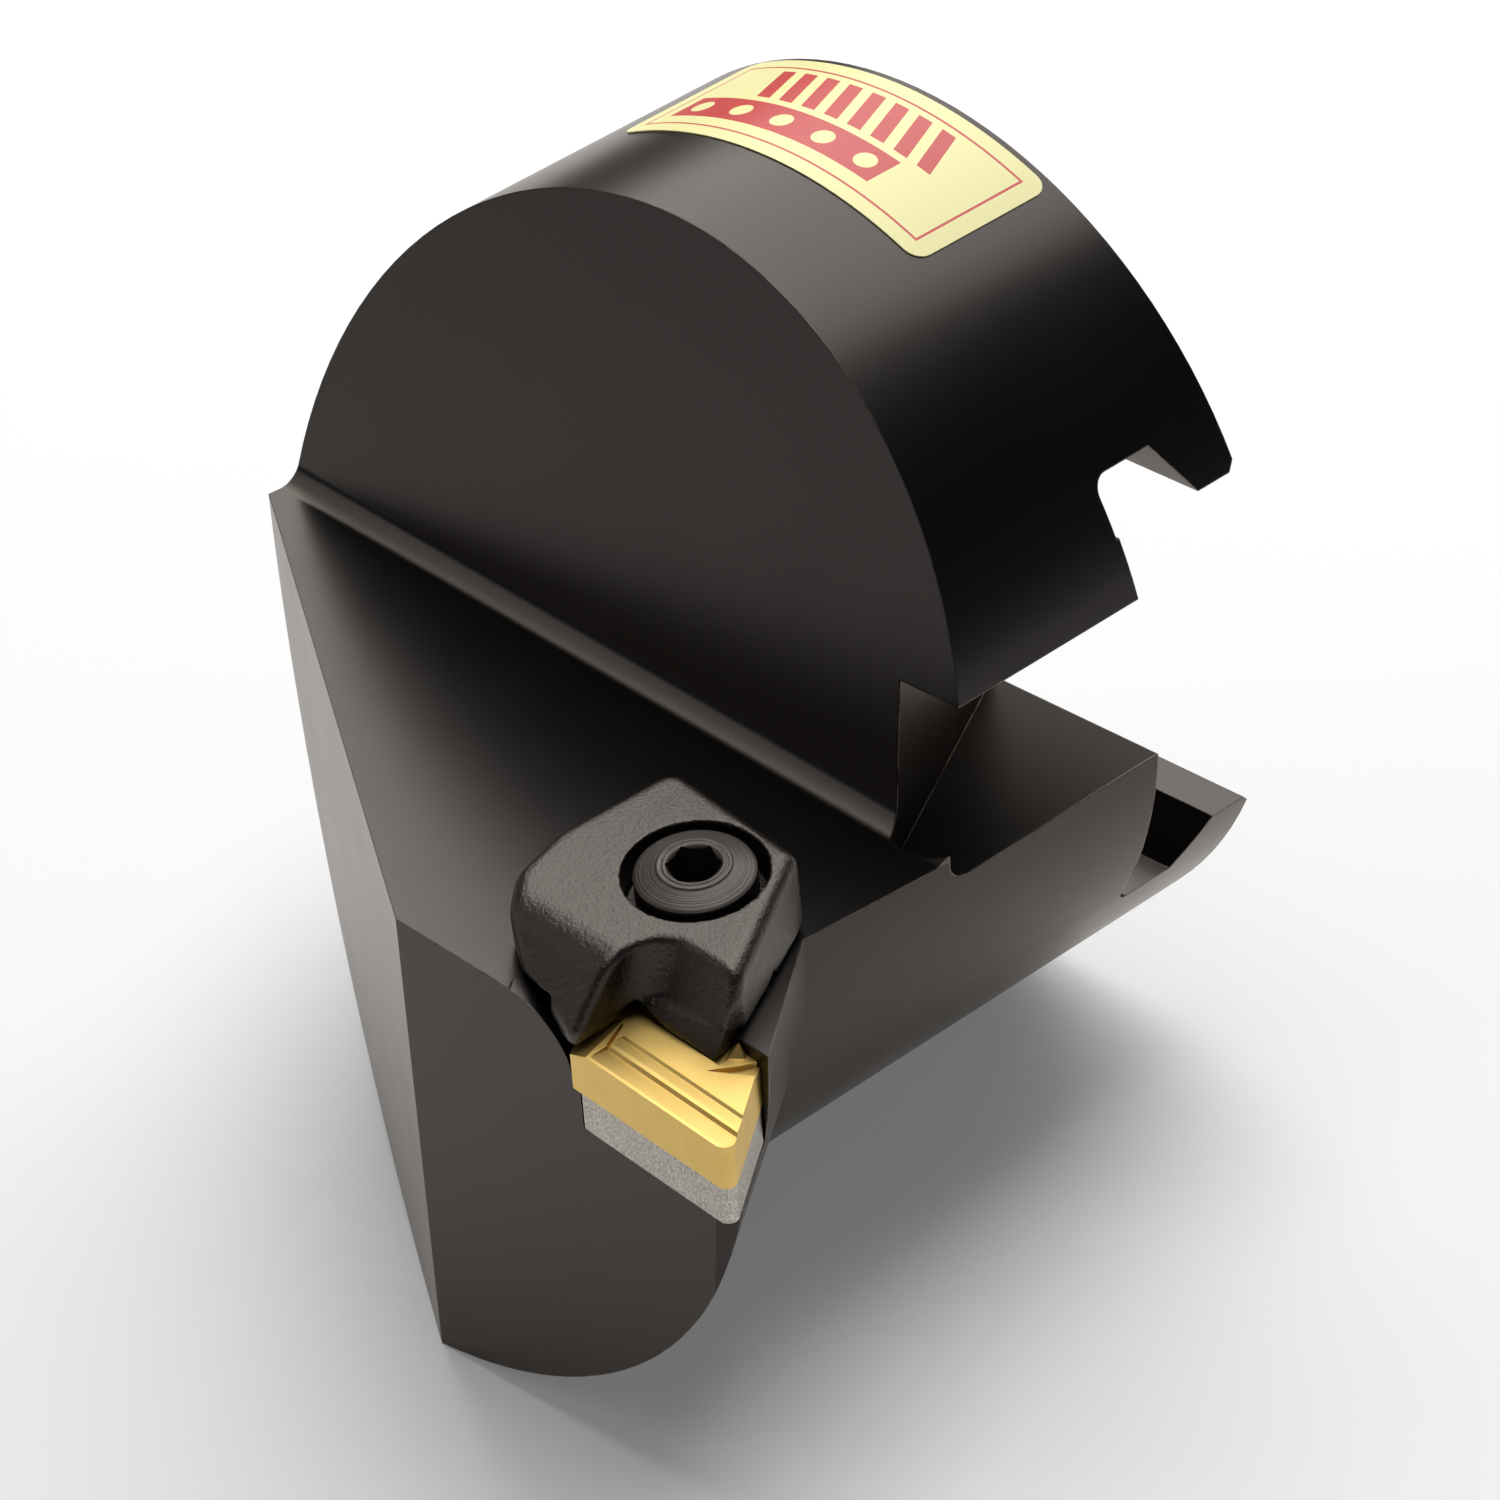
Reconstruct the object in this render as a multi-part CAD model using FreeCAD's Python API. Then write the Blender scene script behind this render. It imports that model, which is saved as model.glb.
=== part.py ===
import FreeCAD, Part
import math
import os

V = FreeCAD.Vector
os.makedirs("parts", exist_ok=True)

# Turning head for a boring bar. Millimetres. The origin is on the head's axis at the coupling
# contact face, +X runs to the cutting end, +Y to the side of the insert's nose, +Z is up.

# Round head
head_r = 40.0
hook_depth = 14.0            # hooks behind the contact face
step_x = 24.3                # step face where it crosses the axis
step_lean = 14.6             # degrees, step face leans back
step_skew = 0.7
floor_z = 1.1                # front floor above the axis at the step
floor_rise = 4.3             # degrees, floor rises to the front
floor_fall = 3.65            # degrees, floor falls to the insert side
step_fillet = 2.2
front_x = 62.5
front_lean = 2.9             # degrees, clearance under the cutting edge

# Front block that widens towards the insert's nose
flare_x = 41.1
flare_end_x = front_x + 1.8
flare_r = 48.2
flare_y, flare_z = 8.8, 4.6  # centre of its large end

# Flat across the side away from the insert
side_flat_x = 52.3           # where the flat crosses the XZ plane
side_flat_angle = 57.5       # degrees from the axis

# Coupling, a slot across the back with undercuts
tip_z = 16.0                 # half opening between the hook tips
undercut_z = 20.8
undercut_x = 6.4             # hook thickness starts here, behind the contact face
hook_slant = 3.0
undercut_relief = 0.3
undercut_r = 1.5
back_chamfer = 0.8

# Chip slot along the insert side
slot_low, slot_high = -3.6, 10.9
slot_wall_y = 33.65          # inner wall at the step
slot_wall_angle = 27.8
slot_end_x = 26.05
slot_end_r = 6.5             # of the cutter that ends it
slot_end_y = 1.2             # its centre beside the wall
slot_foot_r = 1.8            # round foot of its end

# Insert, a 55 degree parallelogram; its frame is at the sharp nose corner on the top plane
nose_x = front_x + 0.6
nose_y = flare_y + flare_r - 2.8
nose_z = -2.0
rake_front = 3.4             # degrees
rake_side = 4.6
edge_turn = 1.6              # long edge against the front face
insert_l = 18.4
insert_w = 8.8
insert_t = 4.3
nose_angle = 55.0
nose_r = 0.9
land = 0.35
groove_low = 2.2             # chip groove, distances from the cutting edge
groove_ridge = 2.8
groove_top = 3.9
groove_depth = 0.45
groove_end = 2.2             # the groove stops before the blunt corner
blunt_drop = 1.0             # top falls away at the blunt corner
notch_depth = 0.45
boss_h = 1.1
boss_room = 0.15             # clamp clear of the boss
shim_t = 3.8
shim_inset = 0.12
shim_short = 0.8             # shim ends before the insert's blunt corner
seat_gap = 0.03              # insert and shim to the pocket walls
relief_r = 1.5               # clears the insert's far nose
mouth_l = 9.0                # how far the rounded mouth runs past the pocket
pocket_edge_r = 5.5          # rounded mouth beside the clamp's claw
floor_over_pocket = 1.9      # floor above the insert's top plane there

# Flat on the body under the nose, three points counted from the nose
nose_flat = [(-1.1, -3.8, -8.9), (-1.5, -4.9, -15.8), (-2.4, -1.9, -8.6)]

# Shim pin
shim_pin_r = 1.5
shim_pin_l = 9.0
pin_fit = 0.05

# Clamp and its screw; their frame is on the clamp's top plane at the screw
clamp_x = nose_x - 16.0
clamp_y = nose_y - 19.4
clamp_z = nose_z + 9.4
clamp_tilt_front = 5.8       # degrees
clamp_tilt_side = 4.8
clamp_t = 6.2
clamp_plan = [(-7.9, -10.5), (3.6, -12.1), (9.0, -11.2), (11.9, -8.9), (14.1, -5.4), (16.1, 2.0),
              (15.0, 11.2), (7.2, 12.0), (-6.9, 4.6)]
clamp_corner_r = {0: 2.0, 1: 4.0, 2: 4.0, 3: 4.0, 4: 3.0, 8: 1.6}
floor_gap = 0.5              # clamp above the floor
claw_gap = 0.3               # claw to the pocket's walls
clamp_round = 1.4
claw_v = 2.4                 # inner side of the claw
claw_x = 11.5                # the claw's top falls from here
claw_fall = 49.0             # degrees
claw_bend_r = 4.0
hollow_x = 6.3               # hollow between claw and finger
hollow_round = 0.8
arch_r = 3.0
finger_low = 6.35            # finger's tip under the top plane
finger_rise = 12.0           # degrees, its underside rises to the claw
finger_r = 1.2
bore_r = 5.9
head_seat = 3.4              # depth of the seat for the screw's head
screw_r = 3.0                # M6
shank_hole_r = 3.3
thread_fit = 0.03
screw_head_r = 4.95
head_drop = 0.35             # rim of the screw's head below the clamp's top
head_crown = 0.75            # low cone up to a flat ring round the socket
crown_r = 2.7
hex_af = 4.0
hex_depth = 2.6
screw_l = 25.0
ring_groove_r = 2.3
ring_w = 0.7
ring_r = 4.5
ring_at = 7.1                # depth of the ring below the clamp's top
ring_fit = 0.05
ring_notch_r, ring_notch_at = 0.9, 2.6
spring_r = 3.95              # mean radius
spring_wire = 0.9
spring_turns = 5
spring_hole_r = 5.2
spring_floor = 15.2
guide_r = 1.5
guide_at = (-5.0, -7.4)
guide_l = 13.0
guide_fit = 0.04

# Label on the back of the round body
label_x = (-13.3, 2.3)
label_angles = (64.5, 116.5)
label_t = 0.12
label_r = 1.6


def rad(a):
    return math.radians(a)


def frame(at, tilt_front, tilt_side, turn=0.0):
    """Placement whose Z leans to the front and to the insert side, with X turned about it."""
    up = V(math.tan(rad(tilt_front)), math.tan(rad(tilt_side)), 1).normalize()
    along = V(math.cos(rad(turn)), -math.sin(rad(turn)), 0)
    return FreeCAD.Placement(at, FreeCAD.Rotation(along, V(0, 0, 0), up, "ZXY"))


def prism(points, low, high):
    """Upright prism over a plan polygon."""
    ring = [V(x, y, low) for x, y in points]
    return Part.Face(Part.makePolygon(ring + ring[:1])).extrude(V(0, 0, high - low))


def across(points, half):
    """Prism along Y over an XZ polygon."""
    ring = [V(x, -half, z) for x, z in points]
    return Part.Face(Part.makePolygon(ring + ring[:1])).extrude(V(0, 2 * half, 0))


def placed(shape, place):
    shape = shape.copy()
    shape.Placement = place.multiply(shape.Placement)
    return shape


def cyl(r, low, high, x=0.0, y=0.0):
    return Part.makeCylinder(r, high - low, V(x, y, low))


def nearest(shape, points):
    """The edge that passes closest to each point."""
    return [min(shape.Edges, key=lambda e: e.distToShape(Part.Vertex(p))[0]) for p in points]


def half_space(at, normal, size=160.0):
    """Big box on the side of a plane that its normal points to."""
    box = Part.makeBox(2 * size, 2 * size, size, V(-size, -size, 0))
    box.Placement = FreeCAD.Placement(at, FreeCAD.Rotation(V(0, 0, 1), normal))
    return box


nose_at = V(nose_x, nose_y, nose_z)
pocket_over = 14.0           # the pocket is open beyond the body
depth = insert_t + shim_t    # of the pocket under the insert's top plane
pocket = frame(nose_at, rake_front, rake_side, edge_turn)
clamping = frame(V(clamp_x, clamp_y, clamp_z), clamp_tilt_front, clamp_tilt_side)
floor_up = V(-math.tan(rad(floor_rise)), math.tan(rad(floor_fall)), 1).normalize()
floor_at = V(step_x, 0, floor_z)
step_out = V(1, math.sin(rad(step_skew)), math.tan(rad(step_lean))).normalize()


# Plan of the insert and of the shim: long edge on x = 0, sharp nose at the origin
def blank_plan(inset=0.0):
    s, c = math.sin(rad(nose_angle)), math.cos(rad(nose_angle))
    back = -insert_w + inset
    shift = inset * (1 + c) / s
    lean = (insert_w - 2 * inset) * c / s
    return [(-inset, -shift), (-inset, -insert_l + inset * (1 - c) / s),
            (back, -insert_l + inset * (1 - c) / s - lean), (back, -shift - lean)]


def blank(low, high, r, inset=0.0, short=0.0):
    plan = blank_plan(inset)
    plan[1:3] = [(x, y + short) for x, y in plan[1:3]]
    solid = prism(plan, low, high)
    sharp = [plan[0], plan[2]]
    middle = (low + high) / 2
    return solid.makeFillet(r, nearest(solid, [V(x, y, middle) for x, y in sharp]))


def beside_pocket():
    """Along the pocket's end wall, at its foot on the insert's top plane."""
    left = -insert_l - seat_gap / math.sin(rad(nose_angle))
    return FreeCAD.Placement(V(0, left, 0), FreeCAD.Rotation(V(0, 0, 1), 90 - nose_angle))


def round_edge(room=0.0):
    """Rounded edge of the body over the pocket's end wall, in the pocket's frame."""
    middle = V(-25, -pocket_edge_r, floor_over_pocket - pocket_edge_r)
    return placed(Part.makeCylinder(pocket_edge_r + room, 50, middle, V(1, 0, 0)), beside_pocket())


def chip_slot():
    """Upright slot along a slanted wall, ended by the cutter's round."""
    run = math.tan(rad(slot_wall_angle))
    wall_y = slot_wall_y + run * (slot_end_x - step_x)
    centre = V(slot_end_x - slot_end_r, wall_y + slot_end_y, slot_low)
    inner = -math.asin(slot_end_y / slot_end_r)
    start, tip, outer = (centre + V(math.cos(a), math.sin(a), 0) * slot_end_r
                         for a in (inner, 0.0, rad(60)))
    outside = head_r + 5
    back = V(-2.0, start.y + run * (-2.0 - start.x), slot_low)
    corners = [outer, V(outer.x, outside, slot_low), V(back.x, outside, slot_low), back, start]
    lines = [Part.makeLine(p, q) for p, q in zip(corners, corners[1:])]
    wire = Part.Wire([Part.Arc(start, tip, outer).toShape()] + lines)
    solid = Part.Face(wire).extrude(V(0, 0, slot_high - slot_low))
    return solid.makeFillet(slot_foot_r, nearest(solid, [tip]))


# Head body
def make_body():
    body = Part.makeCylinder(head_r, hook_depth + front_x + 8, V(-hook_depth, 0, 0), V(1, 0, 0))
    small = Part.Wire(Part.makeCircle(head_r, V(flare_x, 0, 0), V(1, 0, 0)))
    large = Part.Wire(Part.makeCircle(flare_r, V(flare_end_x, flare_y, flare_z), V(1, 0, 0)))
    body = body.fuse(Part.makeLoft([small, large], True, True))
    body = body.cut(half_space(V(front_x, 0, 0), V(1, 0, -math.tan(rad(front_lean)))))
    turn = rad(side_flat_angle)
    body = body.cut(half_space(V(side_flat_x, 0, 0), V(math.sin(turn), -math.cos(turn), 0)))
    upper = half_space(floor_at, floor_up).common(half_space(V(step_x, 0, 0), step_out))
    along = floor_up.cross(step_out).normalize()
    corner = nearest(upper, [V(step_x, 0, floor_z) + along * 30])
    upper = upper.makeFillet(step_fillet, corner)
    body = body.cut(upper)

    # Coupling slot, same above and below the axis
    profile = [(-hook_depth - 1, tip_z + back_chamfer + 1), (-hook_depth, tip_z + back_chamfer),
               (-hook_depth + back_chamfer, tip_z), (-undercut_x - hook_slant, tip_z),
               (-undercut_x, undercut_z), (undercut_relief, undercut_z), (undercut_relief, tip_z),
               (0, tip_z)]
    mirrored = [(x, -z) for x, z in reversed(profile)]
    slot = across(profile + mirrored, head_r + 5)
    ends = [V(undercut_relief, 0, undercut_z), V(undercut_relief, 0, -undercut_z)]
    slot = slot.makeFillet(undercut_r, nearest(slot, ends))
    body = body.cut(slot)

    body = body.cut(chip_slot()).removeSplitter()

    # Insert pocket with a relief for the far nose
    s, c = math.sin(rad(nose_angle)), math.cos(rad(nose_angle))
    back = -insert_w - seat_gap
    left = -insert_l - seat_gap / s
    lean = c / s
    over = pocket_over
    room = prism([(over, left + over * lean), (back, left + back * lean), (back, over),
                  (over, over)], -insert_t, pocket_over)
    low = left + shim_short
    room = room.fuse(prism([(over, low + over * lean), (back, low + back * lean), (back, over),
                            (over, over)], -depth, 0))
    far = blank_plan()[2]
    room = room.fuse(cyl(relief_r, -depth, pocket_over, far[0] + 0.37 * relief_r,
                         far[1] + 0.6 * relief_r))
    mouth = Part.makeBox(44, pocket_edge_r + 0.5, 20,
                         V(-22, -pocket_edge_r, floor_over_pocket - pocket_edge_r))
    mouth = placed(mouth, beside_pocket()).cut(round_edge())
    behind = prism([(-insert_w - mouth_l, -60), (over, -60), (over, 20), (-insert_w - mouth_l, 20)],
                   -20, 20)
    body = body.cut(placed(room.fuse(mouth.common(behind)), pocket))

    # Flat under the nose
    nose_cut = [nose_at + V(*p) for p in nose_flat]
    out = (nose_cut[1] - nose_cut[0]).cross(nose_cut[2] - nose_cut[0])
    out = out if out.y > 0 else -out
    seat = placed(prism([(-20, -20), (20, -20), (20, 20), (-20, 20)], -60, -depth), pocket)
    body = body.cut(half_space(nose_cut[0], out).common(seat))

    # Holes for the clamp's screw, spring and guide pin, and for the shim's pin
    holes = cyl(screw_r + thread_fit, -screw_l - 3, 5)
    holes = holes.fuse(cyl(spring_hole_r, -spring_floor, 5))
    holes = holes.fuse(cyl(guide_r, -guide_l - 2, 5, *guide_at))
    body = body.cut(placed(holes, clamping))
    px, py = shim_pin_plan()
    return body.cut(placed(cyl(shim_pin_r, -depth - shim_pin_l, -depth + 1, px, py), pocket))


def shim_pin_plan():
    plan = blank_plan()
    return sum(p[0] for p in plan) / 4, sum(p[1] for p in plan) / 4


def make_shim():
    solid = blank(-depth, -insert_t, nose_r, shim_inset, shim_short)
    px, py = shim_pin_plan()
    return placed(solid.cut(cyl(shim_pin_r + pin_fit, -depth - 1, 0, px, py)), pocket)


def make_shim_pin():
    px, py = shim_pin_plan()
    top, low = -insert_t - 0.4, -depth - shim_pin_l + 0.5
    pin = cyl(shim_pin_r, low, top, px, py).cut(cyl(0.8, low - 1, top + 1, px, py))
    slit = Part.makeBox(0.5, 3.0, top - low + 2, V(px - 0.25, py, low - 1))
    return placed(pin.cut(slit), pocket)


# Insert: the same top from either nose, turned half round about the middle
def make_insert():
    solid = blank(-insert_t, 0, nose_r)
    length = insert_l - groove_end
    profile = [(-land, 0), (-groove_low, -groove_depth), (-groove_ridge, -0.12),
               (-groove_top, 0), (-groove_top, 1), (-land, 1)]
    ring = [V(x, 8, z) for x, z in profile]
    groove = Part.Face(Part.makePolygon(ring + ring[:1])).extrude(V(0, -length - 8, 0))
    start, inner = V(0, -length, 0), V(-groove_top - 1, -length - 1.1, 0.2)
    fall = (inner - start).cross(V(0, -insert_l, -blunt_drop) - start).normalize()
    corner = half_space(start, fall if fall.z > 0 else -fall)
    beyond = prism([(1, -length + 0.2), (-5.4, -length - 1.2), (-5.4, -40), (1, -40)], -3, 3)
    notch = prism([(-2.0, -length + 0.1), (-4.7, -length - 1.4), (-4.1, -length - 0.7)],
                  -notch_depth, 3)
    plan = blank_plan()
    centre = V((plan[0][0] + plan[2][0]) / 2, (plan[0][1] + plan[2][1]) / 2, 0)
    for turn in (0, 180):
        for cut in (groove, corner.common(beyond), notch):
            tool = cut.copy()
            tool.rotate(centre, V(0, 0, 1), turn)
            solid = solid.cut(tool)
    solid = solid.fuse(boss().common(blank(-1, 3, nose_r))).removeSplitter()
    return placed(solid, pocket)


# Small boss on the insert behind the finger, in the pocket's frame
def boss(room=0.0):
    base = [V(-6.7 + room, -8.3, -0.3), V(-8.0 + room, -6.8 + room, -0.3),
            V(-9.4, -6.8 + room, -0.3), V(-9.4, -10.2 - room, -0.3)]
    top = V(-8.7, -8.2, boss_h + room)
    faces = [Part.Face(Part.makePolygon(base + base[:1]))]
    for a, b in zip(base, base[1:] + base[:1]):
        faces.append(Part.Face(Part.makePolygon([a, b, top, a])))
    solid = Part.Solid(Part.Shell(faces))
    if solid.Volume < 0:
        solid.reverse()
    return solid


# Clamp: a claw over the insert's blunt end and a broad finger beside it
def make_clamp():
    solid = prism(clamp_plan, -clamp_t - 2.5, 0)
    for i, r in clamp_corner_r.items():
        solid = solid.makeFillet(r, nearest(solid, [V(*clamp_plan[i], -clamp_t / 2)]))
    bend = claw_bend_r * math.tan(rad(claw_fall / 2))
    middle = V(claw_x - bend, 0, -claw_bend_r)
    start, halfway, end = (middle + V(math.sin(rad(a)), 0, math.cos(rad(a))) * claw_bend_r
                           for a in (0, claw_fall / 2, claw_fall))
    far = end + V(math.cos(rad(claw_fall)), 0, -math.sin(rad(claw_fall))) * 20
    corners = [end, far, V(far.x, 0, 5), V(start.x, 0, 5), start]
    lines = [Part.makeLine(p, q) for p, q in zip(corners, corners[1:])]
    above = Part.Face(Part.Wire([Part.Arc(start, halfway, end).toShape()] + lines))
    above.translate(V(0, -30, 0))
    above = above.extrude(V(0, 60, 0))
    solid = solid.cut(above)
    rim = [e for e in solid.Edges if abs(e.tangentAt(e.FirstParameter).y) < 0.999
           and all(above.distToShape(v)[0] < 1e-4 or abs(v.Z) < 1e-4 for v in e.Vertexes)]
    solid = solid.makeFillet(clamp_round, rim)

    hollow = half_space(V(hollow_x, 0, 0), V(6.2, 0, 3.5).normalize())
    hollow = hollow.common(Part.makeBox(60, 60, 60, V(-20, claw_v, -30)))
    hollow = hollow.makeFillet(arch_r, nearest(hollow, [V(hollow_x + 1.8, claw_v, -3.2)]))
    solid = solid.cut(hollow)
    facet = [V(6.7, 11.6, 0), V(9.5, 11.0, -6.2), V(6.6, 11.65, -6.2)]
    out = (facet[1] - facet[0]).cross(facet[2] - facet[0]).normalize()
    solid = solid.cut(half_space(facet[0], out if out.y > 0 else -out)).removeSplitter()
    solid = solid.makeFillet(hollow_round, nearest(solid, [V(hollow_x, 8.3, 0)]))
    solid = placed(solid, clamping)

    # Underside: clear of the floor, and on the insert's top plane in front
    over_floor = half_space(floor_at + floor_up * floor_gap, -floor_up)
    over_insert = half_space(nose_at, -pocket.Rotation.multVec(V(0, 0, 1)))
    back = claw_gap - insert_w
    room = placed(prism([(12, -insert_l - 2.2 + 12 * 0.7), (back, -insert_l - 8.4), (back, 14),
                         (12, 14)], -12, 16), pocket)
    solid = solid.cut(over_floor.cut(room)).cut(over_insert).cut(placed(round_edge(claw_gap), pocket))
    tip = V(0, facet[1].y, -finger_low)
    under = half_space(tip, V(0, -math.tan(rad(finger_rise)), -1))
    inner = claw_v - 0.15
    under = under.common(Part.makeBox(60, 30, 60, V(0, inner, -40)))
    rise = (tip.y - inner) * math.tan(rad(finger_rise))
    under = under.makeFillet(finger_r, nearest(under, [V(20, inner, tip.z + rise)]))
    solid = solid.cut(placed(under, clamping))
    return solid.cut(placed(boss(boss_room), pocket))


def clamp_details(solid):
    holes = cyl(shank_hole_r, -20, 5)
    holes = holes.fuse(cyl(bore_r, -head_seat, 5))
    holes = holes.fuse(cyl(guide_r + guide_fit, -20, -2.4, *guide_at))
    return solid.cut(placed(holes, clamping))


def make_clamp_screw():
    rim, seat = -head_drop, -head_seat
    crown = rim + head_crown
    outline = [(0, crown), (crown_r, crown), (crown_r + 0.4, crown - 0.15),
               (screw_head_r - 0.3, rim), (screw_head_r, rim - 0.3), (screw_head_r, seat),
               (screw_r, seat),
               (screw_r, -ring_at), (ring_groove_r, -ring_at),
               (ring_groove_r, -ring_at - ring_w - 2 * ring_fit),
               (screw_r, -ring_at - ring_w - 2 * ring_fit), (screw_r, -screw_l + 0.7),
               (screw_r - 0.7, -screw_l), (0, -screw_l)]
    ring = [V(x, 0, z) for x, z in outline]
    solid = Part.Face(Part.makePolygon(ring + ring[:1])).revolve(V(0, 0, 0), V(0, 0, 1), 360)
    corner = hex_af / math.sqrt(3)
    hexagon = [(corner * math.cos(rad(60 * i + 12)), corner * math.sin(rad(60 * i + 12)))
               for i in range(6)]
    solid = solid.cut(prism(hexagon, rim - hex_depth, 1))
    return placed(solid, clamping)


def make_ring():
    low = -ring_at - ring_w - ring_fit
    ring = cyl(ring_r, low, low + ring_w).cut(cyl(ring_groove_r + ring_fit, low - 1, 0))
    gap = Part.makeBox(ring_r + 1, 2 * ring_groove_r - 1.2, 3,
                       V(0, -ring_groove_r + 0.6, low - 1))
    for i in range(3):
        a = rad(120 * i + 60)
        ring = ring.cut(cyl(ring_notch_r, low - 1, 0, ring_notch_at * math.cos(a),
                            ring_notch_at * math.sin(a)))
    return placed(ring.cut(gap), clamping)


def make_spring():
    top = -ring_at - ring_w - 2 * ring_fit - spring_wire / 2
    low = -spring_floor + spring_wire / 2
    height = top - low
    helix = Part.makeHelix(height / spring_turns, height, spring_r)
    start = Part.Wire(Part.makeCircle(spring_wire / 2, V(spring_r, 0, 0), V(0, 1, 0)))
    coil = Part.Wire(helix.Edges).makePipeShell([start], True, True)
    coil.translate(V(0, 0, low))
    return placed(coil, clamping)


def make_guide():
    pin = cyl(guide_r, -guide_l, -2.8, *guide_at)
    return placed(pin.makeChamfer(0.3, [e for e in pin.Edges if e.Curve.TypeId.endswith("Circle")]),
                  clamping)


def make_label():
    outer = Part.makeCylinder(head_r + label_t, label_x[1] - label_x[0], V(label_x[0], 0, 0),
                              V(1, 0, 0))
    inner = Part.makeCylinder(head_r, label_x[1] - label_x[0], V(label_x[0], 0, 0), V(1, 0, 0))
    sheet = outer.cut(inner)
    far = 60.0
    a, b = (rad(v) for v in label_angles)
    ring = [V(label_x[0] - 1, 0, 0), V(label_x[0] - 1, far * math.cos(a), far * math.sin(a)),
            V(label_x[0] - 1, far * math.cos(b), far * math.sin(b))]
    wedge = Part.Face(Part.makePolygon(ring + ring[:1])).extrude(V(label_x[1] - label_x[0] + 2,
                                                                   0, 0))
    sheet = sheet.common(wedge)
    corners = [V(x, (head_r + label_t / 2) * math.cos(g), (head_r + label_t / 2) * math.sin(g))
               for x in label_x for g in (a, b)]
    return sheet.makeFillet(label_r, nearest(sheet, corners))


nodes = {
    "head_body": make_body(),
    "shim": make_shim(),
    "shim_pin": make_shim_pin(),
    "insert": make_insert(),
    "clamp": clamp_details(make_clamp()),
    "clamp_screw": make_clamp_screw(),
    "retaining_ring": make_ring(),
    "clamp_spring": make_spring(),
    "guide_pin": make_guide(),
    "label": make_label(),
}
for name, shape in nodes.items():
    if shape.ShapeType != "Solid" and len(shape.Solids) == 1:
        shape = shape.Solids[0]
    print(name, shape.ShapeType, len(shape.Solids), shape.isValid(), round(shape.Volume, 2))
    shape.exportStep("parts/" + name + ".step")
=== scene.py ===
import math
import bpy
import bmesh
from mathutils import Matrix, Vector


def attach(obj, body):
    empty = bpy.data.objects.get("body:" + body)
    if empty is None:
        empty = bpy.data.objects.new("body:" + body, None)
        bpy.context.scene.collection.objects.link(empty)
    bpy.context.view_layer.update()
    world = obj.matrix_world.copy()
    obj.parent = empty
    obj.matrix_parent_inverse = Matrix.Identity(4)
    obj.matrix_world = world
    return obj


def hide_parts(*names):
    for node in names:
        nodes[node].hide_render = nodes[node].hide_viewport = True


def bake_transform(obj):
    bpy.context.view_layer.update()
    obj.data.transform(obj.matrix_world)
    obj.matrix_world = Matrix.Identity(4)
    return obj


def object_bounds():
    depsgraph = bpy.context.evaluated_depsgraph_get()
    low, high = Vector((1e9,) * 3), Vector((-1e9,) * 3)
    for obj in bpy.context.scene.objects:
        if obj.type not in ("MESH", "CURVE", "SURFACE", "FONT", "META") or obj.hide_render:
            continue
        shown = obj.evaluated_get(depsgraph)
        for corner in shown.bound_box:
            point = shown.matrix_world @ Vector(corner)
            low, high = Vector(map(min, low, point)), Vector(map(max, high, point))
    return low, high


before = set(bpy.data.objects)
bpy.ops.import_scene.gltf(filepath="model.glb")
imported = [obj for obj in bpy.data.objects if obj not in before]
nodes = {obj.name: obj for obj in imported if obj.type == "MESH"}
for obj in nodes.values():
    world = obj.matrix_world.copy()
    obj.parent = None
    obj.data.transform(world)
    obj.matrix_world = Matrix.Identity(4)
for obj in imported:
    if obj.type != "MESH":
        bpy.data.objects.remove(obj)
cad_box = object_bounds()
mm = 0.001

# Camera, from the front right, turned a little about its own view line
view_azimuth = 138.39
view_elevation = 33.05
view_roll = 5.0
camera_at = Vector((0.35413, 0.38820, 0.32275))
camera_lens = 173.08
sensor = 36.0

# Studio: a softbox behind the head on the left, one high above it, a weak one in front
key_at, key_size, key_power = (211.0, 42.5, 1.2), (1.34, 0.9), 12.0
top_at, top_size, top_power = (200.0, 84.0, 1.2), (0.8, 0.8), 6.5
fill_at, fill_size, fill_power = (315.0, 30.0, 1.2), (0.6, 0.6), 1.1
lamps_aim = (0.02, 0.01, 0.0)
floor_glow, world_strength = 0.14, 0.055

# Insert, in the pocket's own frame: nose at the origin, long edge along -Y, mm
pocket_at = (63.1, 54.2, -2.0)
insert_size = (8.8, 18.4, 4.3)
nose_angle = 55.0
nose_r, nose_steps = 0.9, 30
chip_groove = [(-0.3, 0.0), (-2.0, -0.34), (-2.22, -0.05), (-2.6, -0.05), (-3.6, -0.2),
               (-3.82, 0.0)]
far_groove = [(-0.3, 0.0), (-2.0, -0.34), (-2.3, 0.0)]   # ends under the finger
groove_end = 16.3
edge_hone = 0.06

# Corner between step face and floor, mm, and the way both face
step_corner = (24.3, 0.0, 1.1)
step_normal = (1.0, 0.0122, 0.2605)
floor_normal = (-0.0752, 0.0638, 1.0)

# Chip slot, mm: middle and half size along X and Z, and its slanted wall, which bound where the
# slot is painted darker as shade
chip_slot_x, chip_slot_z = (13.1, 13.0), (3.65, 7.3)
chip_slot_wall, chip_slot_out = (-0.5272, 1.0, 0.0), 20.74

# Clamp and screw, mm
clamp_at = (47.1, 34.8, 7.4)
clamp_voxel = 0.17
screw_feed = 0.16            # pitch of the turned rings on the screw's head
socket_corner = 2.31         # 4 mm hexagon
spring_r, spring_wire, spring_turns = 3.95, 0.9, 5.0
spring_low, spring_high = -14.75, -8.35

# Label, mm: on the round body between two angles about the axis
label_x = (-13.3, 2.3)
label_angles = (64.5, 116.5)
label_r = 1.6
body_r = 40.0
film = 0.12

node_sharp_angle = 25.0      # edges sharper than this stay sharp on the CAD's own nodes


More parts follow.
